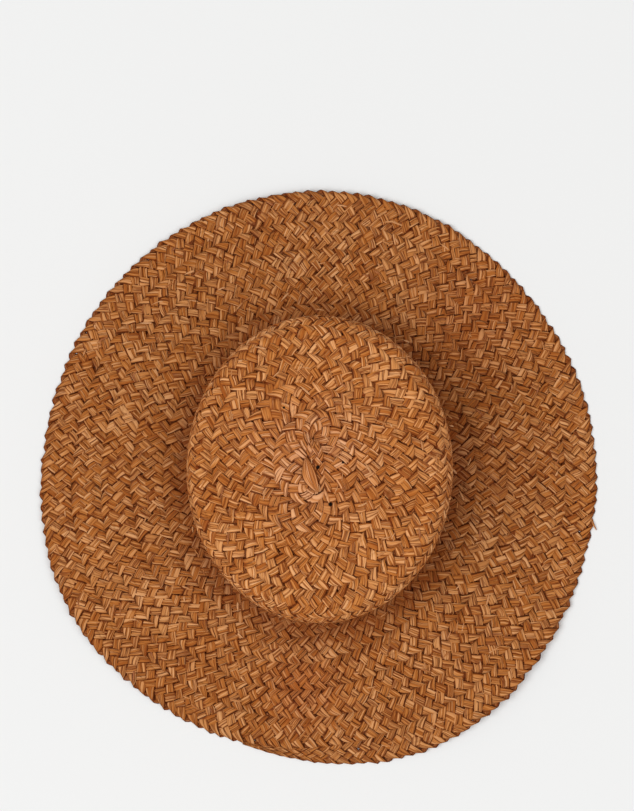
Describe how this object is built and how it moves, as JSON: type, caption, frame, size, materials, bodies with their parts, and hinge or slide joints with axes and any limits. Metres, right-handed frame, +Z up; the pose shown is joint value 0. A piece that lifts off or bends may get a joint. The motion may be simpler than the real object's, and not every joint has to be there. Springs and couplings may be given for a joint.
{
  "type": "wide-brimmed straw boater hat",
  "caption": "Plaited straw hat with a flat-topped oval crown, rounded shoulder, straight side and a wide, softly waved brim, wound from one flat plait.",
  "frame": {"origin": "under the middle of the brim, on the surface that the hat rests on", "axes": "+Z up, +Y along the length of the head oval, +X across the head"},
  "size_m": [0.3854, 0.3976, 0.1075],
  "materials": {
    "straw": "flat strands of brown straw in a five-strand plait, matt with a faint sheen along the fibres, each strand a little lighter or darker than the next"
  },
  "bodies": {
    "root": {"crown_tip": "straw", "crown_side": "straw", "brim": "straw"}
  },
  "joints": []
}
